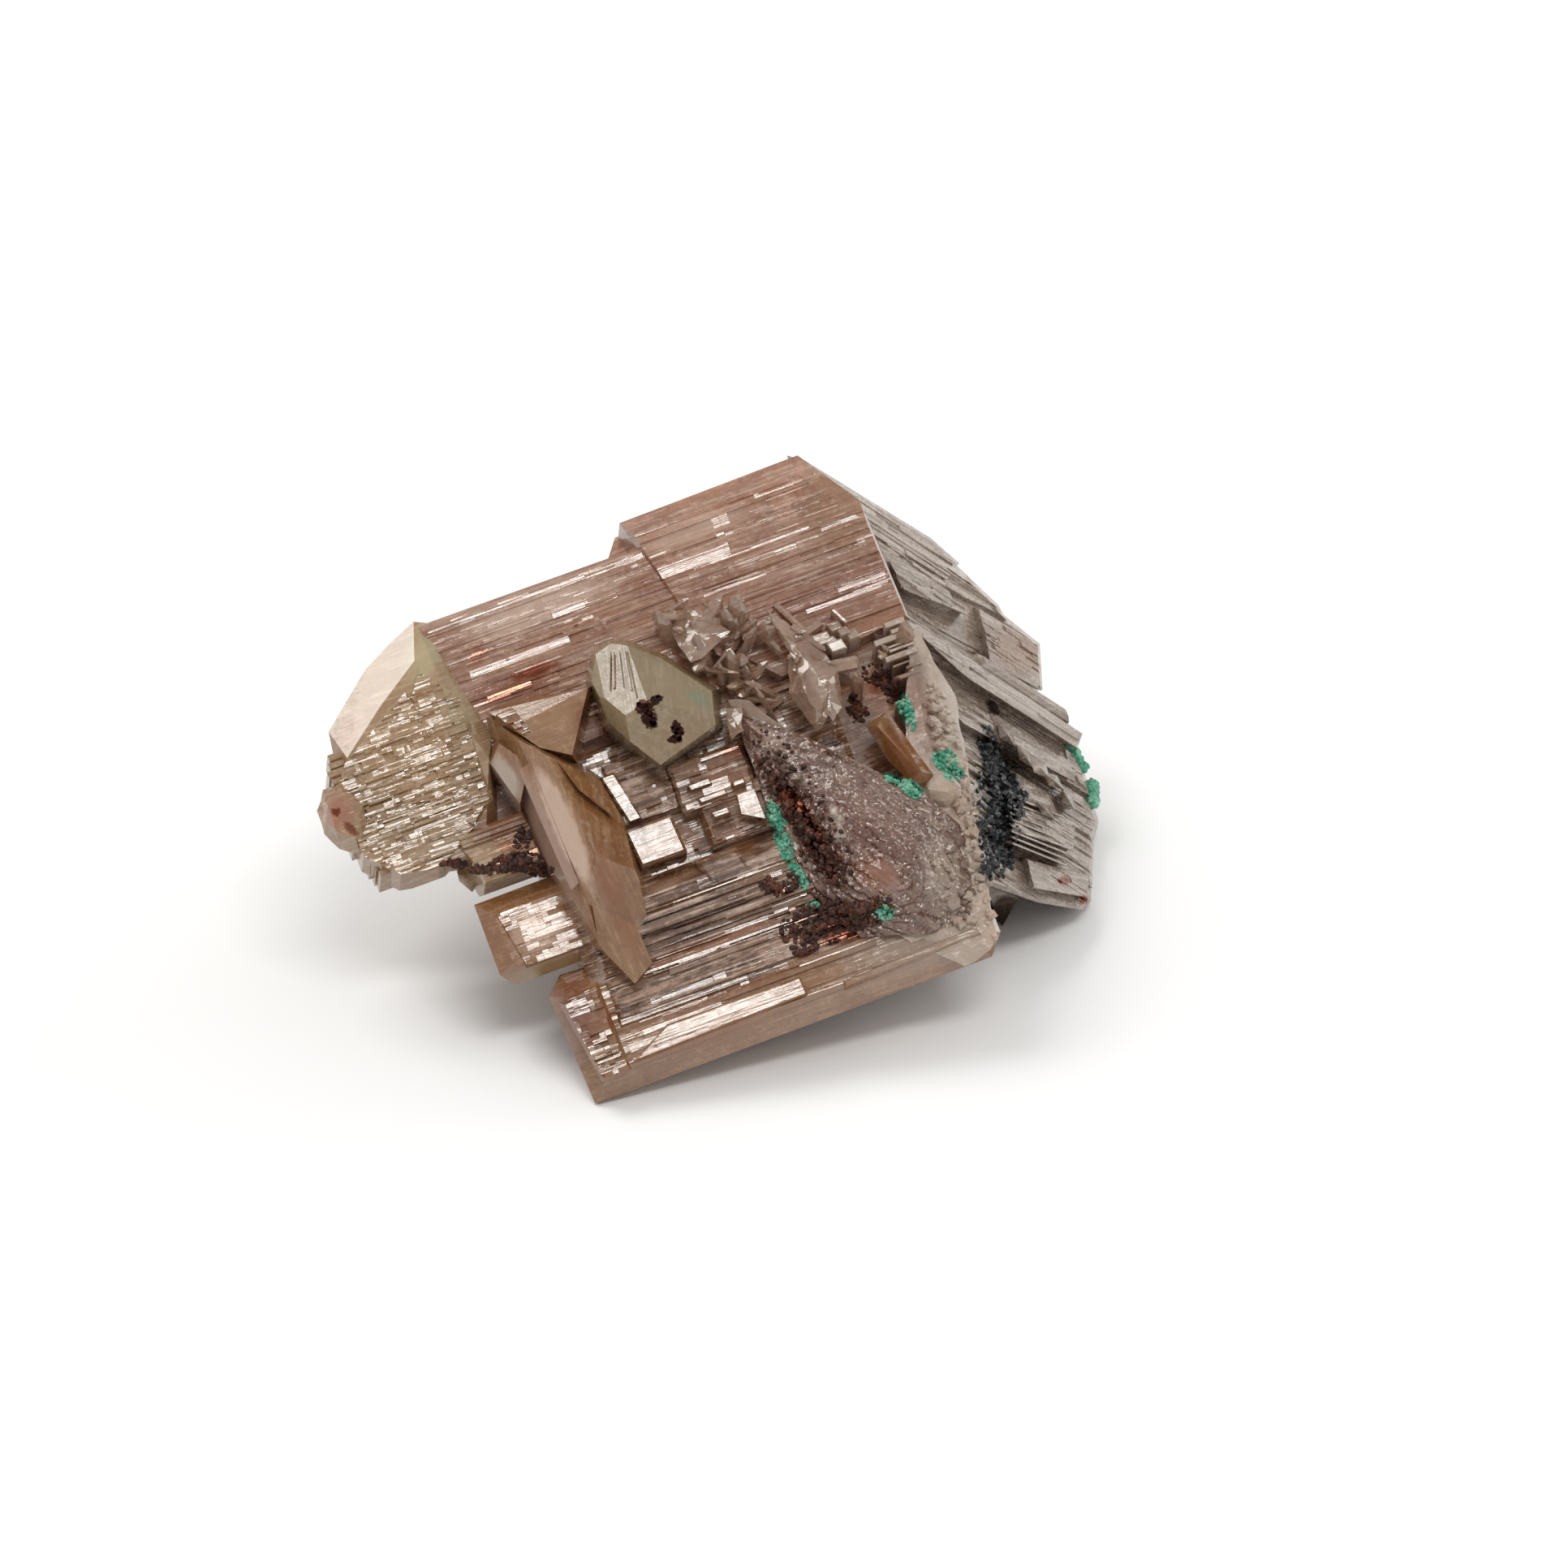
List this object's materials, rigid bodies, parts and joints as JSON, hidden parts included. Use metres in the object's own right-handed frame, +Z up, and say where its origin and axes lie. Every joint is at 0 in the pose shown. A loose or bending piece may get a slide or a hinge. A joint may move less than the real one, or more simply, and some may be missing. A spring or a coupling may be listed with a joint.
{
  "type": "cerussite crystal group with malachite",
  "caption": "Free-standing group of striated tabular cerussite crystals in a V-shaped twin, with small malachite tufts, iron oxide crusts and black ore between the plates.",
  "frame": {"origin": "centre of the bounding box in X and Y, on the level surface that the group rests on", "axes": "+Z up as the group rests, -Y towards the broad striated face and the eye, +X towards the stepped wing of the twin"},
  "size_m": [0.0424, 0.0418, 0.0228],
  "materials": {
    "cerussite": "gloss",
    "malachite": "satin",
    "iron_oxide": "matte",
    "black_ore": "satin"
  },
  "bodies": {
    "root": {"cerussite_crystals": "cerussite", "malachite_ridge_tuft": "malachite", "malachite_pocket_tuft": "malachite", "malachite_ledge_tuft": "malachite", "malachite_string": "malachite", "malachite_toe_tuft": "malachite", "malachite_rim_tuft": "malachite", "malachite_ball": "malachite", "iron_oxide_fringe": "iron_oxide", "iron_oxide_crust": "iron_oxide", "black_ore_patch": "black_ore"}
  },
  "joints": []
}
